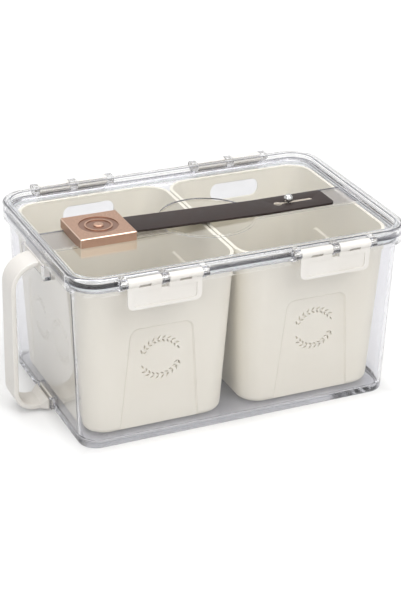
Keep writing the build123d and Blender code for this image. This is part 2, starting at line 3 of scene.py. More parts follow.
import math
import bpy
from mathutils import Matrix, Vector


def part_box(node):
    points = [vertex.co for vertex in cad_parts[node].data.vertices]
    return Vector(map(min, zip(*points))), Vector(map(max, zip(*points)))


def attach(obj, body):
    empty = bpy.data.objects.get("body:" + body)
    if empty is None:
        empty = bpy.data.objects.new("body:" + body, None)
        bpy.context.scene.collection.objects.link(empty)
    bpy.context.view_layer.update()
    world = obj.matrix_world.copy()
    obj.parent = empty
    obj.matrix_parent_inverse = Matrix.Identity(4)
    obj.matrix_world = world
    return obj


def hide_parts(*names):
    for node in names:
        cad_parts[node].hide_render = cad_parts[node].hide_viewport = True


bl_info = {
    "name": "Fridge Storage Container",
    "version": (1, 0, 0),
    "blender": (4, 5, 0),
    "location": "3D View > Sidebar > Container",
    "description": "Dresses a clear lidded container, its bins, latches, strap and badge",
    "category": "Object",
}

import bmesh
import bpy
from bpy.props import FloatProperty, FloatVectorProperty, PointerProperty
from mathutils import Matrix, Vector

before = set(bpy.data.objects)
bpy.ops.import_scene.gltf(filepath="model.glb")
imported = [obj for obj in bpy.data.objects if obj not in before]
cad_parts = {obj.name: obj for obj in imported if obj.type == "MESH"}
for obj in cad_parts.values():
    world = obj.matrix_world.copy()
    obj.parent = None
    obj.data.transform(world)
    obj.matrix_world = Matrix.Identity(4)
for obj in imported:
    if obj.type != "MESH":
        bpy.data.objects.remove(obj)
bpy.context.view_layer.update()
MM = 0.001
IMAGE_WIDTH = 401
IMAGE_HEIGHT = 601

# Kinds of node used most. A colour mix has its factor at socket 0 and its colours at 6 and 7
MATHS = "ShaderNodeMath"
RANGE = "ShaderNodeMapRange"
MIX = "ShaderNodeMix"
NOISE = "ShaderNodeTexNoise"
BUMP = "ShaderNodeBump"
AXES = "ShaderNodeSeparateXYZ"

# Most of a noise's values lie in this span
NOISE_SPAN = (0.3, 0.7)

# Lid: the strap's channel with its finger well, and the levels of its rounded corners, where thin dark
# lines are painted as shade
WELL_PLACE = 5 * MM
WELL_RADIUS = 43 * MM
GROOVE_HALF_WIDTH = 18.2 * MM
GROOVE_TOP = 156.4 * MM
LID_SHADE_LINES = (
    (155.7 * MM, 156.7 * MM),
    (156.9 * MM, 157.4 * MM),
    (163.3 * MM, 163.9 * MM),
)
CHANNEL_ROUGHNESS = 0.3
LID_DENSITY = 1.5

# Tub: the levels of its rounded corners, where thin dark lines are painted as shade, and where the
# painted shade of its floor under the bins fades out
TUB_SHADE_LINES = ((0.15 * MM, 1.5 * MM), (5.15 * MM, 5.6 * MM))
BASE_TOP = 5.6 * MM
BASE_SHADE_ALONG = (128 * MM, 148 * MM)
BASE_SHADE_ACROSS = (76 * MM, 95 * MM)
BASE_ROUGHNESS = 0.05
TUB_DENSITY = 1.0
EDGE_START = 0.75

# Bins: the middle of each, how far out its walls start, how much a face that looks up counts
# as one that looks inwards, and the levels between which its inside grows dim
BIN_PLACE = 73.5 * MM
BIN_WALLS_FROM = 45 * MM
BIN_UPWARD_COUNTS = 63 * MM
BIN_DIM_LEVELS = (20 * MM, 55 * MM)

# Seal, strap and badge
SEAL_WIDTH = 2.6 * MM
SEAL_CORNER = 20.5 * MM
SLOT_START = 71 * MM
SLOT_END = 111 * MM
SLOT_HALF_WIDTH = 4.2 * MM
STRAP_SKIN = 157.6 * MM
BADGE_TOP = 165.2 * MM
MEDAL_PLACE = -97.2 * MM
MEDAL_RADIUS = 17.7 * MM
EDGE_WEAR_HIGHLIGHT = 0.9 * MM

# Lamps: name, place in metres, width in metres and watts
LAMPS = (
    ("key", (0.5, -1.6, 1.6), 1.4, 18.5),
    ("fill", (-1.4, -1.2, 1.2), 1.2, 11.0),
    ("top", (0.1, -0.2, 2.2), 2.4, 39.0),
    ("back", (-0.6, 1.5, 2.2), 1.2, 9.0),
)

# Stage: how far light is followed, how bright the sky and floor are, and in metres from where
# to where the floor's glow grows, and where it starts round the tub, leaving a painted shadow
# under and close round it
LIGHT_BOUNCES = 64
CLEAR_BOUNCES = 24
OVERHEAD_GREY = 0.55
SKY_LIGHT = 0.42
FLOOR_COLOUR = 0.7
FLOOR_GLOW = 0.2
FLOOR_NEAR = 0.45
FLOOR_FAR = 2.2
FOOT_SHADOW_ALONG = (139 * MM, 159 * MM)
FOOT_SHADOW_ACROSS = (85 * MM, 105 * MM)
MIRRORED = 0.88


def linear(code):
    """A colour in linear light, from its sRGB hex code."""
    parts = [int(code[i : i + 2], 16) / 255 for i in (1, 3, 5)]
    return [c / 12.92 if c <= 0.04045 else ((c + 0.055) / 1.055) ** 2.4 for c in parts]


def hex_colour(code, name, description):
    """A colour property whose default is an sRGB hex code."""
    return FloatVectorProperty(
        name=name,
        description=description,
        subtype="COLOR",
        size=3,
        min=0.0,
        max=1.0,
        default=linear(code),
    )


def length_mm(value, name, description):
    """A length property with its default in millimetres."""
    return FloatProperty(
        name=name, description=description, unit="LENGTH", default=value * MM, min=0.0
    )


# Node helpers


def node(tree, kind, inputs=(), **settings):
    """A new node with its settings. Its inputs are given in order, or by key, and each is a
    value, a socket to link, or a node, which stands for its first output in use."""
    made = tree.nodes.new(kind)
    for key, value in settings.items():
        setattr(made, key, value)
    pairs = inputs.items() if isinstance(inputs, dict) else enumerate(inputs)
    for key, value in pairs:
        if isinstance(value, bpy.types.Node):
            value = next(socket for socket in value.outputs if socket.enabled)
        if isinstance(value, bpy.types.NodeSocket):
            tree.links.new(value, made.inputs[key])
        else:
            made.inputs[key].default_value = value
    return made


def rgba(colour):
    """A colour with full alpha."""
    return (*colour[:3], 1.0)


def new_material(name):
    """A new material, its empty node tree, and Object coordinates in metres."""
    material = bpy.data.materials.new(name)
    material.use_nodes = True
    tree = material.node_tree
    tree.nodes.clear()
    return material, tree, node(tree, "ShaderNodeTexCoord").outputs["Object"]


def end_material(tree, inputs):
    """Ends a material in a principled shader with those inputs."""
    shader = node(tree, "ShaderNodeBsdfPrincipled", inputs)
    node(tree, "ShaderNodeOutputMaterial", {"Surface": shader})


def seen_by(tree, light):
    """1 for rays from the camera and for what metal and glass show, else 0."""
    by_shine = (light["Is Glossy Ray"], light["Is Transmission Ray"])
    shown = node(tree, MATHS, by_shine, operation="MAXIMUM")
    return node(tree, MATHS, (light["Is Camera Ray"], shown), operation="MAXIMUM")


def mirrored_share(tree, light):
    """How bright a white thing looks: 1, or less once a reflection has shown it."""
    mirrored = node(tree, MATHS, (light["Glossy Depth"], 0.5), operation="GREATER_THAN")
    return node(tree, RANGE, (mirrored, 0.0, 1.0, 1.0, MIRRORED))


# Materials


def clear_plastic(
    name, colours, per_metre, corners, tint, shade_and_frost_part, shade_and_frost_tint, marked_rough
):
    """Injection-moulded styrene: clear, glossy and grey at edges. Its marked part is greyer: painted
    shade under the bins on the tub's floor, and a frosted channel in the lid. Thin dark lines are
    painted as shade at the levels of its rounded corners, where real corners bend the light away."""
    material, tree, place = new_material(name)
    mottle = node(tree, NOISE, {"Vector": place, "Scale": 1 / (9 * MM)})
    rough = node(tree, RANGE, (mottle, *NOISE_SPAN, 0.012, 0.028))
    # The tub's marked part is painted shade under the bins; the lid's is its frosted channel
    marked = shade_and_frost_part(tree, place)
    duller = node(tree, MATHS, (marked, marked_rough), operation="MULTIPLY")
    shaded_and_frosted = node(tree, MIX, {0: marked, 6: rgba(tint), 7: rgba(shade_and_frost_tint)}, data_type="RGBA")
    # Painted shade: thin dark lines at set levels along the rounded corners
    lines = level_bands(tree, place, corners)
    dark = rgba(colours.corner_line_shade)
    flow = node(tree, NOISE, {"Vector": place, "Scale": 1 / (38 * MM), "Detail": 1.0})
    plastic = node(
        tree,
        "ShaderNodeBsdfPrincipled",
        {
            "Base Color": node(tree, MIX, {0: lines, 6: shaded_and_frosted, 7: dark}, data_type="RGBA"),
            "Roughness": node(tree, MATHS, (rough, duller), operation="MAXIMUM"),
            "Normal": node(tree, BUMP, {"Height": flow, "Distance": 0.02 * MM}),
            "IOR": 1.57,
            "Transmission Weight": 1.0,
        },
    )
    light = node(tree, "ShaderNodeLightPath").outputs
    lit = (light["Is Shadow Ray"], light["Is Diffuse Ray"])
    slant = node(tree, "ShaderNodeLayerWeight", {"Blend": 0.5}).outputs["Facing"]
    edge = node(tree, RANGE, (slant, EDGE_START, 1.0, 0.0, 1.0))
    clear, dim = rgba(colours.shade_tint), rgba(colours.shade_edge_tint)
    shade = node(tree, MIX, {0: edge, 6: clear, 7: dim}, data_type="RGBA")
    window = node(tree, "ShaderNodeBsdfTransparent", {"Color": shade})
    straight = node(tree, MATHS, lit, operation="MAXIMUM")
    absorbed = {"Color": rgba(colours.edge_tint), "Density": per_metre}
    node(
        tree,
        "ShaderNodeOutputMaterial",
        {
            "Surface": node(tree, "ShaderNodeMixShader", (straight, plastic, window)),
            "Volume": node(tree, "ShaderNodeVolumeAbsorption", absorbed),
        },
    )
    return material


def level_bands(tree, place, bands):
    """1 between each pair of levels, else 0."""
    level = node(tree, AXES, (place,)).outputs["Z"]
    inside = 0.0
    for low, high in bands:
        above = node(tree, MATHS, (level, low), operation="GREATER_THAN")
        below = node(tree, MATHS, (level, high), operation="LESS_THAN")
        inside = node(tree, MATHS, (above, below, inside), operation="MULTIPLY_ADD")
    return inside


def tub_floor_shade(tree, place):
    """The tub's floor, with painted shade: greyer under the bins and less so towards its edges."""
    axes = node(tree, AXES, (place,)).outputs
    along = node(tree, MATHS, (axes["X"],), operation="ABSOLUTE")
    across = node(tree, MATHS, (axes["Y"],), operation="ABSOLUTE")
    length_share = node(tree, RANGE, (along, *BASE_SHADE_ALONG, 1.0, 0.0))
    width_share = node(tree, RANGE, (across, *BASE_SHADE_ACROSS, 1.0, 0.0))
    middle = node(tree, MATHS, (length_share, width_share), operation="MULTIPLY")
    low = node(tree, MATHS, (axes["Z"], BASE_TOP), operation="LESS_THAN")
    return node(tree, MATHS, (middle, low), operation="MULTIPLY")


def strap_channel(tree, place):
    """The lid's strap channel, which is frosted either side of the clear finger well."""
    axes = node(tree, AXES, (place,)).outputs
    across = node(tree, MATHS, (axes["Y"],), operation="ABSOLUTE")
    narrow = node(tree, MATHS, (across, GROOVE_HALF_WIDTH), operation="LESS_THAN")
    low = node(tree, MATHS, (axes["Z"], GROOVE_TOP), operation="LESS_THAN")
    channel = node(tree, MATHS, (narrow, low), operation="MULTIPLY")
    from_well = node(tree, MATHS, (axes["X"], WELL_PLACE), operation="SUBTRACT")
    beside = node(tree, MATHS, (from_well,), operation="ABSOLUTE")
    outside = node(tree, MATHS, (beside, WELL_RADIUS), operation="GREATER_THAN")
    return node(tree, MATHS, (channel, outside), operation="MULTIPLY")


def moulded_plastic(name, colour, shade, rough, grain_size, depth=None):
    """Satin moulded plastic: an even colour with a faint cloud in it, and the mould's fine grain.
    With a depth colour it is the bins', which are dim low down inside."""
    material, tree, place = new_material(name)
    cloud = node(tree, NOISE, {"Vector": place, "Scale": 1 / (60 * MM), "Detail": 3.0})
    clouded = node(tree, RANGE, (cloud, *NOISE_SPAN, 0.0, 1.0))
    skin = node(tree, MIX, {0: clouded, 6: rgba(colour), 7: rgba(shade)}, data_type="RGBA")
    if depth is not None:
        low = bin_depth(tree, place)
        skin = node(tree, MIX, {0: low, 6: skin, 7: rgba(depth)}, data_type="RGBA")
    pebble = node(tree, NOISE, {"Vector": place, "Scale": 1 / grain_size})
    end_material(
        tree,
        {
            "Base Color": skin,
            "Roughness": node(tree, RANGE, (pebble, *NOISE_SPAN, rough - 0.05, rough + 0.05)),
            "Normal": node(tree, BUMP, {"Height": pebble, "Distance": 0.02 * MM}),
            "IOR": 1.49,
        },
    )
    return material


def bin_depth(tree, place):
    """1 low down inside a bin, where little light comes, and 0 outside it. A face is inside
    when it looks towards the bin's upright axis, or up."""
    axes = node(tree, AXES, (place,)).outputs
    facing = node(tree, "ShaderNodeTexCoord").outputs["Normal"]
    turned = node(tree, AXES, (facing,)).outputs
    side = node(tree, MATHS, (axes["X"],), operation="SIGN")
    centre = node(tree, MATHS, (side, BIN_PLACE), operation="MULTIPLY")
    from_centre = node(tree, MATHS, (axes["X"], centre), operation="SUBTRACT")
    along = node(tree, MATHS, (turned["X"], from_centre), operation="MULTIPLY")
    sideways = node(tree, MATHS, (turned["Y"], axes["Y"], along), operation="MULTIPLY_ADD")
    upward = node(tree, MATHS, (turned["Z"], BIN_UPWARD_COUNTS), operation="MULTIPLY")
    outward = node(tree, MATHS, (sideways, upward), operation="SUBTRACT")
    inside = node(tree, MATHS, (outward, -BIN_WALLS_FROM), operation="LESS_THAN")
    deep = node(tree, RANGE, (axes["Z"], *BIN_DIM_LEVELS, 1.0, 0.0))
    return node(tree, MATHS, (inside, deep), operation="MULTIPLY")


def silicone_rubber(name, colour):
    """Translucent silicone: milky, soft-looking and dull."""
    material, tree, place = new_material(name)
    cloud = node(tree, NOISE, {"Vector": place, "Scale": 1 / (20 * MM), "Detail": 3.0})
    clouded = node(tree, RANGE, (cloud, *NOISE_SPAN, 0.0, 1.0))
    pale = [min(1.0, 1.04 * c) for c in colour]
    milk = node(tree, MIX, {0: clouded, 6: rgba(colour), 7: rgba(pale)}, data_type="RGBA")
    soft = {"Roughness": 0.42, "IOR": 1.41, "Transmission Weight": 0.55}
    end_material(tree, {"Base Color": milk, **soft})
    return material


def bridle_leather(name, colour, worn, core):
    """Smooth dyed leather: fine pores, a soft shine, rubbed patches and a pale core in its slot."""
    material, tree, place = new_material(name)
    rubbed = node(tree, NOISE, {"Vector": place, "Scale": 1 / (14 * MM), "Detail": 4.0})
    wear = node(tree, RANGE, (rubbed, *NOISE_SPAN, 0.0, 0.5))
    skin = node(tree, MIX, {0: wear, 6: rgba(colour), 7: rgba(worn)}, data_type="RGBA")
    pores = node(tree, "ShaderNodeTexVoronoi", {"Vector": place, "Scale": 1 / (0.7 * MM)})
    cut = slot_walls(tree, place)
    end_material(
        tree,
        {
            "Base Color": node(tree, MIX, {0: cut, 6: skin, 7: rgba(core)}, data_type="RGBA"),
            "Roughness": node(tree, RANGE, (rubbed, *NOISE_SPAN, 0.46, 0.58)),
            "Normal": node(tree, BUMP, {"Height": pores, "Distance": 0.05 * MM}),
            "IOR": 1.5,
            "Specular IOR Level": 0.3,
        },
    )
    return material


def slot_walls(tree, place):
    """1 on the cut walls of the strap's slot, below its skin, else 0."""
    axes = node(tree, AXES, (place,)).outputs
    middle = (SLOT_START + SLOT_END) / 2
    from_middle = node(tree, MATHS, (axes["X"], middle), operation="SUBTRACT")
    along = node(tree, MATHS, (from_middle,), operation="ABSOLUTE")
    across = node(tree, MATHS, (axes["Y"],), operation="ABSOLUTE")
    in_length = node(tree, MATHS, (along, SLOT_END - middle), operation="LESS_THAN")
    in_width = node(tree, MATHS, (across, SLOT_HALF_WIDTH), operation="LESS_THAN")
    below_skin = node(tree, MATHS, (axes["Z"], STRAP_SKIN), operation="LESS_THAN")
    punched = node(tree, MATHS, (in_length, in_width), operation="MULTIPLY")
    return node(tree, MATHS, (punched, below_skin), operation="MULTIPLY")


def rubbed_highlit_edges(tree, axes, box):
    """1 along the badge's upright corners and the edges of its top, where a place is near two
    or three of its sides and top at once: rubbed bright, with a painted highlight."""
    top_edge = (BADGE_TOP - EDGE_WEAR_HIGHLIGHT, BADGE_TOP - 0.4 * EDGE_WEAR_HIGHLIGHT)
    near = node(tree, RANGE, (axes["Z"], *top_edge, 0.0, 1.0))
    for axis in range(2):
        low, high = box[0][axis], box[1][axis]
        middle, half = (low + high) / 2, (high - low) / 2
        offset = node(tree, MATHS, (axes[axis], middle), operation="SUBTRACT")
        distance = node(tree, MATHS, (offset,), operation="ABSOLUTE")
        side = node(tree, RANGE, (distance, half - EDGE_WEAR_HIGHLIGHT, half - 0.4 * EDGE_WEAR_HIGHLIGHT, 0.0, 1.0))
        near = node(tree, MATHS, (side, near), operation="ADD")
    return node(tree, RANGE, (near, 1.2, 1.8, 0.0, 1.0))


def aged_copper(name, colour, patina, rubbed, box):
    """Antiqued copper: fine streaks, patina in patches and in the sunk medal, darker on its sides,
    and edges rubbed bright with a painted highlight along its top and upright corners."""
    material, tree, place = new_material(name)
    stretch = node(tree, "ShaderNodeMapping", {"Vector": place, "Scale": (0.06, 1.0, 1.0)})
    across_grain = {"Scale": 1 / (0.35 * MM), "Detail": 3.0, "Roughness": 0.6}
    streaks = node(tree, NOISE, {"Vector": stretch, **across_grain})
    speckle = {"Scale": 1 / (1.4 * MM), "Detail": 5.0, "Roughness": 0.75}
    patches = node(tree, NOISE, {"Vector": place, **speckle})
    axes = node(tree, AXES, (place,)).outputs
    middle = (MEDAL_PLACE, 0, 0)
    from_middle = node(tree, "ShaderNodeVectorMath", (place, middle), operation="SUBTRACT")
    flat = node(tree, "ShaderNodeVectorMath", (from_middle, (1, 1, 0)), operation="MULTIPLY")
    reach = node(tree, "ShaderNodeVectorMath", (flat,), operation="LENGTH")
    in_medal = node(tree, MATHS, (reach, MEDAL_RADIUS), operation="LESS_THAN")
    medal_levels = (BADGE_TOP - 0.6 * MM, BADGE_TOP - 0.1 * MM)
    low = node(tree, RANGE, (axes["Z"], *medal_levels, 0.8, 0.0))
    sunk = node(tree, MATHS, (in_medal, low), operation="MULTIPLY")
    # Darker on all sides below the top
    side_levels = (BADGE_TOP - 0.9 * MM, BADGE_TOP - 0.5 * MM)
    side = node(tree, RANGE, (axes["Z"], *side_levels, 0.4, 0.0))
    darker_sides_and_medal = node(tree, MATHS, (side, sunk), operation="MAXIMUM")
    patchy = node(tree, RANGE, (patches, 0.42, 0.66, 0.0, 0.6))
    aged = node(tree, MATHS, (patchy, darker_sides_and_medal), operation="MAXIMUM")
    metal = node(tree, MIX, {0: aged, 6: rgba(colour), 7: rgba(patina)}, data_type="RGBA")
    # Rubbing and a painted highlight, on the top edges and upright corners only
    edges = rubbed_highlit_edges(tree, axes, box)
    end_material(
        tree,
        {
            "Base Color": node(tree, MIX, {0: edges, 6: metal, 7: rgba(rubbed)}, data_type="RGBA"),
            "Roughness": node(tree, RANGE, (streaks, *NOISE_SPAN, 0.3, 0.45)),
            "Normal": node(tree, BUMP, {"Height": streaks, "Distance": 0.02 * MM}),
            "Metallic": 1.0,
        },
    )
    return material


def polished_metal(name, colour, low, high, size):
    """Plated or drawn steel: mirror-like, with faint handling marks of that size, and rougher
    from low to high where they are."""
    material, tree, place = new_material(name)
    scratches = {"Scale": 1 / size, "Detail": 4.0, "Roughness": 0.6}
    marks = node(tree, NOISE, {"Vector": place, **scratches})
    marked = node(tree, RANGE, (marks, *NOISE_SPAN, 0.0, 1.0))
    dull = [0.93 * c for c in colour]
    plate = node(tree, MIX, {0: marked, 6: rgba(colour), 7: rgba(dull)}, data_type="RGBA")
    gloss = node(tree, RANGE, (marks, *NOISE_SPAN, low, high))
    end_material(tree, {"Base Color": plate, "Roughness": gloss, "Metallic": 1.0})
    return material


def dress(name, material):
    """Gives a CAD node its material."""
    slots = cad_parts[name].data.materials
    if len(slots):
        slots[0] = material
    else:
        slots.append(material)


def finished(mesh_object, body, slot, *nodes):
    """Puts a finished piece on its CAD body in place of the CAD nodes it stands for."""
    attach(mesh_object, body)
    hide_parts(*nodes)
    return mesh_object


def mesh_piece(name, shape, material):
    """A new object from a bmesh, with smooth faces."""
    mesh = bpy.data.meshes.new(name)
    shape.to_mesh(mesh)
    shape.free()
    for face in mesh.polygons:
        face.use_smooth = True
    mesh.materials.append(material)
    made = bpy.data.objects.new(name, mesh)
    bpy.context.scene.collection.objects.link(made)
    return made


def read_plain(made):
    """The mesh that an object's modifiers give, in place of its own mesh and modifiers."""
    bpy.context.view_layer.update()
    graph = bpy.context.evaluated_depsgraph_get()
    mesh = bpy.data.meshes.new_from_object(made.evaluated_get(graph))
    made.modifiers.clear()
    made.data = mesh
    for face in mesh.polygons:
        face.use_smooth = True
    return made


def tree_with(name, inputs):
    """A geometry tree with a mesh in and out, and named inputs with their kinds."""
    tree = bpy.data.node_groups.new(name, "GeometryNodeTree")
    sockets = tree.interface
    sockets.new_socket("Mesh", in_out="INPUT", socket_type="NodeSocketGeometry")
    for key, kind in inputs.items():
        sockets.new_socket(key, in_out="INPUT", socket_type=kind)
    sockets.new_socket("Mesh", in_out="OUTPUT", socket_type="NodeSocketGeometry")
    return tree, node(tree, "NodeGroupInput")


def end_tree(tree, shape):
    """Ends a geometry tree in real meshes with the tree's material."""
    given = tree.nodes["Group Input"].outputs["Material"]
    real = node(tree, "GeometryNodeRealizeInstances", {0: shape})
    filled = node(tree, "GeometryNodeSetMaterial", {"Geometry": real, "Material": given})
    node(tree, "NodeGroupOutput", {0: filled})


def with_tree(made, tree, **values):
    """Puts a geometry tree on an object and sets its inputs by the sockets' identifiers."""
    modifier = made.modifiers.new(tree.name, "NODES")
    modifier.node_group = tree
    for item in tree.interface.items_tree:
        key = item.name.lower().replace(" ", "_")
        if item.in_out == "INPUT" and key in values:
            modifier[item.identifier] = values[key]
    return read_plain(made)


def ring_tree():
    """A soft ring along a rounded rectangle, from a section with rounded edges."""
    lengths = ("Length", "Width", "Corner", "Level", "Section Width", "Section Height", "Softness")
    inputs = {key: "NodeSocketFloat" for key in lengths}
    tree, given = tree_with("soft_ring", {**inputs, "Material": "NodeSocketMaterial"})
    got = given.outputs
    path = node(
        tree,
        "GeometryNodeCurvePrimitiveQuadrilateral",
        {"Width": got["Length"], "Height": got["Width"]},
    )
    bent = node(
        tree,
        "GeometryNodeFilletCurve",
        {"Curve": path, "Radius": got["Corner"], "Count": 12},
        mode="POLY",
    )
    lift = node(tree, "ShaderNodeCombineXYZ", {2: got["Level"]})
    raised = node(tree, "GeometryNodeTransform", {"Geometry": bent, "Translation": lift})
    section = node(
        tree,
        "GeometryNodeCurvePrimitiveQuadrilateral",
        {"Width": got["Section Width"], "Height": got["Section Height"]},
    )
    soft = node(
        tree,
        "GeometryNodeFilletCurve",
        {"Curve": section, "Radius": got["Softness"], "Count": 5},
        mode="POLY",
    )
    swept = node(tree, "GeometryNodeCurveToMesh", {"Curve": raised, "Profile Curve": soft})
    end_tree(tree, swept)
    return tree


def row_tree():
    """Copies of a mesh in a row along X."""
    inputs = {"Count": "NodeSocketInt", "Start": "NodeSocketFloat", "Spacing": "NodeSocketFloat"}
    tree, given = tree_with("row_of_screws", {**inputs, "Material": "NodeSocketMaterial"})
    got = given.outputs
    start = node(tree, "ShaderNodeCombineXYZ", {0: got["Start"]})
    step = node(tree, "ShaderNodeCombineXYZ", {0: got["Spacing"]})
    line = node(
        tree,
        "GeometryNodeMeshLine",
        {"Count": got["Count"], "Start Location": start, "Offset": step},
    )
    placed = node(
        tree, "GeometryNodeInstanceOnPoints", {"Points": line, "Instance": got["Mesh"]}
    )
    end_tree(tree, placed)
    return tree


def pan_screw(name, radius, head_radius, low, head_height, high, pitch, material):
    """A screw on the upright axis, head down: hexagon socket, rounded pan head and ridged shank."""
    segments = 24
    socket = 0.55 * head_radius
    seat = low + head_height
    rings = [(socket * 0.9, low + 0.55 * head_height, True), (socket, low, True)]
    for step in range(5):
        turn = math.pi / 2 * step / 4
        reach = head_radius - 0.35 * head_height * (1 - math.sin(turn))
        rings.append((reach, low + 0.35 * head_height * (1 - math.cos(turn)), False))
    rings += [(head_radius, seat, False), (radius, seat, False)]
    level = seat + pitch
    while level + pitch < high - radius * 0.6:
        rings += [(radius * 0.84, level, False), (radius, level + pitch / 2, False)]
        level += pitch
    rings += [(radius * 0.84, high - radius * 0.6, False), (radius * 0.3, high, False)]
    shape = bmesh.new()
    loops = []
    for reach, height, hexagonal in rings:
        loop = []
        for index in range(segments):
            angle = 2 * math.pi * index / segments
            near = (angle + math.pi / 6) % (math.pi / 3) - math.pi / 6
            flat = reach * math.cos(math.pi / 6) / math.cos(near)
            out = flat if hexagonal else reach
            loop.append(shape.verts.new((out * math.cos(angle), out * math.sin(angle), height)))
        loops.append(loop)
    for below, above in zip(loops, loops[1:]):
        for index in range(segments):
            after = (index + 1) % segments
            shape.faces.new((below[index], below[after], above[after], above[index]))
    shape.faces.new(loops[0][::-1])
    shape.faces.new(loops[-1])
    bmesh.ops.recalc_face_normals(shape, faces=shape.faces)
    return mesh_piece(name, shape, material)


# Properties


class ContainerColours(bpy.types.PropertyGroup):
    """Colours of the container's finishes."""

    wall_tint: hex_colour("#F1F1F4", "Clear tub", "What the tub's walls leave of white light")
    lid_tint: hex_colour("#FCFCFC", "Clear lid", "What the lid leaves of white light")
    shade_tint: hex_colour("#FAFAFB", "Clear shadow", "What the clear plastic lets lamps light")
    edge_tint: hex_colour("#B8BAC6", "Clear edges", "What a clear edge leaves of white light")
    shade_edge_tint: hex_colour("#DCDDE2", "Shadow edges", "What clear edges let lamps light")
    # Painted shade: the colour of the thin dark lines along rounded corners
    corner_line_shade: hex_colour("#6A6A73", "Clear corners", "Thin lines along rounded corners")
    # Painted shade: the tub's floor is greyer under the bins
    floor_shade_tint: hex_colour("#CDCDD0", "Clear floor", "What the tub's floor leaves of white light")
    channel_tint: hex_colour("#E4E2E6", "Matt channel", "What the lid's channel leaves of it")
    cream: hex_colour("#F0EBDB", "Bins", "Cream plastic of the bins")
    cream_shade: hex_colour("#ECE6D5", "Bins, deeper", "Deeper cream in the bins' plastic")
    cream_depth: hex_colour("#A0947F", "Bins, low inside", "Cream where little light comes")
    white: hex_colour("#E0DDD8", "Latches and handle", "Warm white plastic")
    white_shade: hex_colour("#DBD7D1", "Latches, deeper", "Deeper white in that plastic")
    seal: hex_colour("#E9EDF0", "Seal", "Milky silicone")
    leather: hex_colour("#29201E", "Strap", "Dyed leather")
    leather_worn: hex_colour("#3C302D", "Strap, rubbed", "Rubbed leather")
    leather_core: hex_colour("#E4DCD2", "Strap, core", "Undyed core in the punched slot")
    copper: hex_colour("#D3AE97", "Badge", "Aged copper")
    patina: hex_colour("#8F6F63", "Badge, patina", "Dark patina of the copper")
    # Rubbed copper and a painted highlight along the badge's top edges and upright corners
    copper_edge: hex_colour("#F0DCCB", "Badge, edges", "Copper rubbed bright along its edges")
    chrome: hex_colour("#C8C8C8", "Stud", "Chrome plate")
    steel: hex_colour("#B9B7B3", "Screws and pins", "Bright steel")


class ContainerSizes(bpy.types.PropertyGroup):
    """Sizes of the pieces that the dressing adds."""

    strap_edge: length_mm(0.45, "Strap edge", "Radius of the strap's burnished edges")
    seal_softness: length_mm(1.1, "Seal softness", "Radius of the seal's rounded edges")
    thread_pitch: length_mm(0.7, "Thread pitch", "Distance between the screws' ridges")


# Operators


class OBJECT_OT_dress_clear_shell(bpy.types.Operator):
    """Clear tub and lid, with painted shade on the tub's floor under the bins and the lid's matt
    channel
    """

    bl_idname = "container.dress_clear_shell"
    bl_label = "Clear Tub and Lid"

    def execute(self, context):
        colours = context.scene.container_colours
        base = (tub_floor_shade, colours.floor_shade_tint, BASE_ROUGHNESS)
        channel = (strap_channel, colours.channel_tint, CHANNEL_ROUGHNESS)
        for name, finish, per_metre, corners, tint, marked in (
            ("tub", "clear_styrene", TUB_DENSITY, TUB_SHADE_LINES, colours.wall_tint, base),
            ("lid", "clear_lid_styrene", LID_DENSITY, LID_SHADE_LINES, colours.lid_tint, channel),
        ):
            dress(name, clear_plastic(finish, colours, per_metre, corners, tint, *marked))
        return {"FINISHED"}


class OBJECT_OT_make_seal(bpy.types.Operator):
    """Milky silicone ring between the tub's rim and the lid"""

    bl_idname = "container.make_seal"
    bl_label = "Seal"

    def execute(self, context):
        low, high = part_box("lid_seal")
        silicone = silicone_rubber("milky_silicone", context.scene.container_colours.seal)
        seal = mesh_piece("silicone_seal", bmesh.new(), silicone)
        with_tree(
            seal,
            ring_tree(),
            length=high[0] - low[0] - SEAL_WIDTH,
            width=high[1] - low[1] - SEAL_WIDTH,
            corner=SEAL_CORNER,
            level=(high[2] + low[2]) / 2,
            section_width=SEAL_WIDTH,
            section_height=high[2] - low[2],
            softness=context.scene.container_sizes.seal_softness,
            material=silicone,
        )
        finished(seal, "lid", "silicone", "lid_seal")
        return {"FINISHED"}


class OBJECT_OT_dress_bins(bpy.types.Operator):
    """Cream vented bins"""

    bl_idname = "container.dress_bins"
    bl_label = "Vented Bins"

    def execute(self, context):
        colours = context.scene.container_colours
        cream = moulded_plastic(
            "cream_polypropylene",
            colours.cream,
            colours.cream_shade,
            rough=0.42,
            grain_size=0.8 * MM,
            depth=colours.cream_depth,
        )
        dress("bin_left", cream)
        dress("bin_right", cream)
        return {"FINISHED"}


class OBJECT_OT_dress_latches(bpy.types.Operator):
    """White latches with their pins, and the white handle"""

    bl_idname = "container.dress_latches"
    bl_label = "Latches and Handle"

    def execute(self, context):
        colours = context.scene.container_colours
        white = moulded_plastic(
            "white_abs", colours.white, colours.white_shade, rough=0.32, grain_size=0.6 * MM
        )
        for place in ("front_left", "front_right", "back_left", "back_right"):
            dress(f"latch_{place}", white)
        dress("handle", white)
        pins = polished_metal("drawn_steel", colours.steel, low=0.18, high=0.3, size=2 * MM)
        dress("latch_pins", pins)
        return {"FINISHED"}


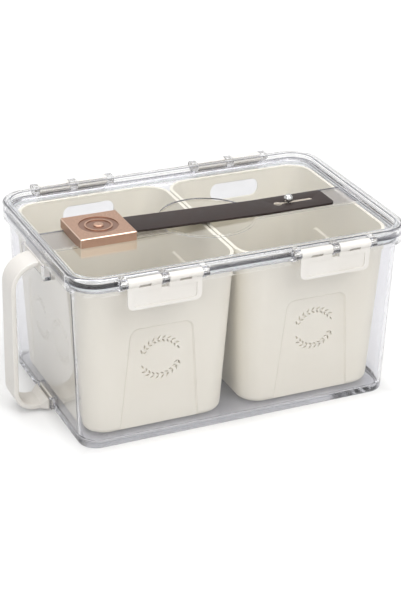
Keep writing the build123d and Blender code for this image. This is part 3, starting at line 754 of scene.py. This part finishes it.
class OBJECT_OT_make_screws(bpy.types.Operator):
    """Screws driven up through the lid into the badge and the stud"""

    bl_idname = "container.make_screws"
    bl_label = "Screws"

    def execute(self, context):
        colour = context.scene.container_colours.steel
        steel = polished_metal("bright_steel", colour, low=0.18, high=0.3, size=2 * MM)
        pitch = context.scene.container_sizes.thread_pitch
        tree = row_tree()
        for node_name, name, count, radius in (
            ("badge_screws", "badge_pan_screws", 2, 1.25 * MM),
            ("stud_screw", "stud_pan_screw", 1, 0.8 * MM),
        ):
            low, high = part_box(node_name)
            head_radius = (high[1] - low[1]) / 2
            spacing = high[0] - low[0] - 2 * head_radius
            screw = pan_screw(
                name, radius, head_radius, low[2], 1.0 * MM, high[2], pitch, steel
            )
            with_tree(
                screw,
                tree,
                count=count,
                start=low[0] + head_radius,
                spacing=spacing,
                material=steel,
            )
            finished(screw, "lid", "steel", node_name)
        return {"FINISHED"}


class OBJECT_OT_make_strap(bpy.types.Operator):
    """Leather strap with burnished edges and its keyhole slot, the badge and the stud"""

    bl_idname = "container.make_strap"
    bl_label = "Strap, Badge and Stud"

    def execute(self, context):
        colours = context.scene.container_colours
        skin = (colours.leather, colours.leather_worn, colours.leather_core)
        leather = bridle_leather("dark_bridle_leather", *skin)
        shape = bmesh.new()
        shape.from_mesh(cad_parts["strap"].data)
        bmesh.ops.remove_doubles(shape, verts=shape.verts, dist=0.001 * MM)
        bmesh.ops.dissolve_limit(
            shape, angle_limit=math.radians(0.5), verts=shape.verts, edges=shape.edges
        )
        corners = [edge for edge in shape.edges if edge.calc_face_angle(0.0) > math.radians(40)]
        bmesh.ops.bevel(
            shape,
            geom=corners,
            offset=context.scene.container_sizes.strap_edge,
            segments=3,
            profile=0.5,
            affect="EDGES",
            clamp_overlap=True,
        )
        finished(mesh_piece("leather_strap", shape, leather), "lid", "leather", "strap")
        finish = (colours.copper, colours.patina, colours.copper_edge)
        dress("badge", aged_copper("aged_copper", *finish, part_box("badge")))
        stud = polished_metal("chrome", colours.chrome, low=0.05, high=0.12, size=3 * MM)
        dress("strap_stud", stud)
        return {"FINISHED"}


class OBJECT_OT_set_stage(bpy.types.Operator):
    """Pale floor, soft studio light and the camera at the photograph's angle"""

    bl_idname = "container.set_stage"
    bl_label = "Stage"

    def execute(self, context):
        scene = context.scene
        self.floor(scene)
        self.world(scene)
        self.lamps(scene)
        self.camera(scene)
        scene.view_settings.view_transform = "Standard"
        scene.cycles.max_bounces = LIGHT_BOUNCES
        scene.cycles.glossy_bounces = LIGHT_BOUNCES
        scene.cycles.transmission_bounces = LIGHT_BOUNCES
        scene.cycles.transparent_max_bounces = CLEAR_BOUNCES
        return {"FINISHED"}

    def floor(self, scene):
        """A wide white disc that keeps the object's shadow. It glows where it is seen, more far off
        and not under or close round the tub, which leaves a painted contact shadow there; the glow
        lights nothing."""
        material, tree, place = new_material("white_floor")
        light = node(tree, "ShaderNodeLightPath").outputs
        shown = mirrored_share(tree, light)
        mottle = node(tree, NOISE, {"Vector": place, "Scale": 1 / (300 * MM), "Detail": 3.0})
        pales = (FLOOR_COLOUR - 0.01, FLOOR_COLOUR + 0.01)
        pale = node(tree, RANGE, (mottle, *NOISE_SPAN, *pales))
        grey = node(tree, MATHS, (pale, shown), operation="MULTIPLY")
        axes = node(tree, AXES, (place,)).outputs
        along = node(tree, MATHS, (axes["X"],), operation="ABSOLUTE")
        across = node(tree, MATHS, (axes["Y"],), operation="ABSOLUTE")
        # Painted contact shadow: no glow under the tub, fading in close round it
        beyond_ends = node(tree, RANGE, (along, *FOOT_SHADOW_ALONG, 0.0, 1.0))
        beyond_sides = node(tree, RANGE, (across, *FOOT_SHADOW_ACROSS, 0.0, 1.0))
        beyond_painted_shadow = node(tree, MATHS, (beyond_ends, beyond_sides), operation="MAXIMUM")
        distance = node(tree, "ShaderNodeVectorMath", (place,), operation="LENGTH")
        level = node(tree, RANGE, (distance, FLOOR_NEAR, FLOOR_FAR, FLOOR_GLOW, 1.0))
        glow = node(tree, MATHS, (seen_by(tree, light), shown), operation="MULTIPLY")
        glow = node(tree, MATHS, (glow, beyond_painted_shadow), operation="MULTIPLY")
        end_material(
            tree,
            {
                "Base Color": node(tree, "ShaderNodeCombineColor", (grey, grey, grey)),
                "Roughness": 0.9,
                "Specular IOR Level": 0.1,
                "Emission Color": (1, 1, 1, 1),
                "Emission Strength": node(tree, MATHS, (glow, level), operation="MULTIPLY"),
            },
        )
        shape = bmesh.new()
        bmesh.ops.create_circle(shape, cap_ends=True, segments=96, radius=4.0)
        floor = mesh_piece("floor", shape, material)
        floor.location.z = -0.3 * MM

    def world(self, scene):
        """White where it is seen, greyer overhead in reflections, and softer as a light."""
        world = bpy.data.worlds.new("studio")
        scene.world = world
        world.use_nodes = True
        tree = world.node_tree
        tree.nodes.clear()
        light = node(tree, "ShaderNodeLightPath").outputs
        round_about = node(tree, "ShaderNodeTexCoord").outputs["Generated"]
        axes = node(tree, AXES, (round_about,)).outputs
        overhead = node(tree, RANGE, (axes["Z"], 0.06, 0.9, 1.0, OVERHEAD_GREY))
        unmirrored = node(tree, MATHS, (light["Glossy Depth"], 0.5), operation="LESS_THAN")
        shown = node(tree, MATHS, (unmirrored, overhead), operation="MAXIMUM")
        sides = (0.85 * SKY_LIGHT, 1.15 * SKY_LIGHT)
        given = node(tree, RANGE, (axes["X"], -0.7, 0.7, *sides))
        strength = node(tree, MIX, {0: seen_by(tree, light), 2: given, 3: shown})
        sky = {"Color": (1, 1, 1, 1), "Strength": strength}
        background = node(tree, "ShaderNodeBackground", sky)
        node(tree, "ShaderNodeOutputWorld", {"Surface": background})

    def lamps(self, scene):
        """Large soft lamps: a key in front, a fill from the left, one overhead, one behind."""
        aim = Vector((0, 0, 80 * MM))
        for name, place, size, watts in LAMPS:
            lamp = bpy.data.lights.new(name, "AREA")
            lamp.size = size
            lamp.energy = watts
            made = bpy.data.objects.new(name, lamp)
            made.location = place
            made.rotation_euler = (aim - Vector(place)).to_track_quat("-Z", "Y").to_euler()
            scene.collection.objects.link(made)

    def camera(self, scene):
        """The photograph's camera: front, a little from the left and above, with a slight roll."""
        azimuth, elevation, roll = (math.radians(a) for a in (-24.801, 25.976, 1.24))
        distance = 1598.31 * MM
        target = Vector((7.17 * MM, 0, 72.233 * MM))
        focal = 1757.985
        centre = (206.517, 301.409)
        back = Vector(
            (
                math.sin(azimuth) * math.cos(elevation),
                -math.cos(azimuth) * math.cos(elevation),
                math.sin(elevation),
            )
        )
        right = Vector((math.cos(azimuth), math.sin(azimuth), 0))
        up = back.cross(right)
        turned_right = right * math.cos(roll) + up * math.sin(roll)
        turned_up = up * math.cos(roll) - right * math.sin(roll)
        data = bpy.data.cameras.new("camera")
        data.sensor_width = 36.0
        data.lens = focal * data.sensor_width / IMAGE_HEIGHT
        data.shift_x = (IMAGE_WIDTH / 2 - centre[0]) / IMAGE_HEIGHT
        data.shift_y = (centre[1] - IMAGE_HEIGHT / 2) / IMAGE_HEIGHT
        data.clip_start = 0.05
        data.clip_end = 50.0
        camera = bpy.data.objects.new("camera", data)
        turn = Matrix((turned_right, turned_up, back)).transposed().to_4x4()
        camera.matrix_world = Matrix.Translation(target + distance * back) @ turn
        scene.collection.objects.link(camera)
        scene.camera = camera


STEPS = (
    OBJECT_OT_dress_clear_shell,
    OBJECT_OT_make_seal,
    OBJECT_OT_dress_bins,
    OBJECT_OT_dress_latches,
    OBJECT_OT_make_screws,
    OBJECT_OT_make_strap,
    OBJECT_OT_set_stage,
)


class VIEW3D_PT_container(bpy.types.Panel):
    """Lists the container's steps and colours."""

    bl_label = "Container"
    bl_space_type = "VIEW_3D"
    bl_region_type = "UI"
    bl_category = "Container"

    def draw(self, context):
        for step in STEPS:
            self.layout.operator(step.bl_idname)
        for group in (context.scene.container_colours, context.scene.container_sizes):
            for name in group.__annotations__:
                self.layout.prop(group, name)


CLASSES = (ContainerColours, ContainerSizes, *STEPS, VIEW3D_PT_container)


def register():
    """Registers the classes and their properties."""
    for one in CLASSES:
        bpy.utils.register_class(one)
    bpy.types.Scene.container_colours = PointerProperty(type=ContainerColours)
    bpy.types.Scene.container_sizes = PointerProperty(type=ContainerSizes)


def unregister():
    """Removes the classes and their properties."""
    del bpy.types.Scene.container_sizes
    del bpy.types.Scene.container_colours
    for one in reversed(CLASSES):
        bpy.utils.unregister_class(one)


def main():
    """Makes every piece and the stage."""
    register()
    for step in STEPS:
        group, name = step.bl_idname.split(".")
        getattr(getattr(bpy.ops, group), name)()


if __name__ == "__main__":
    main()
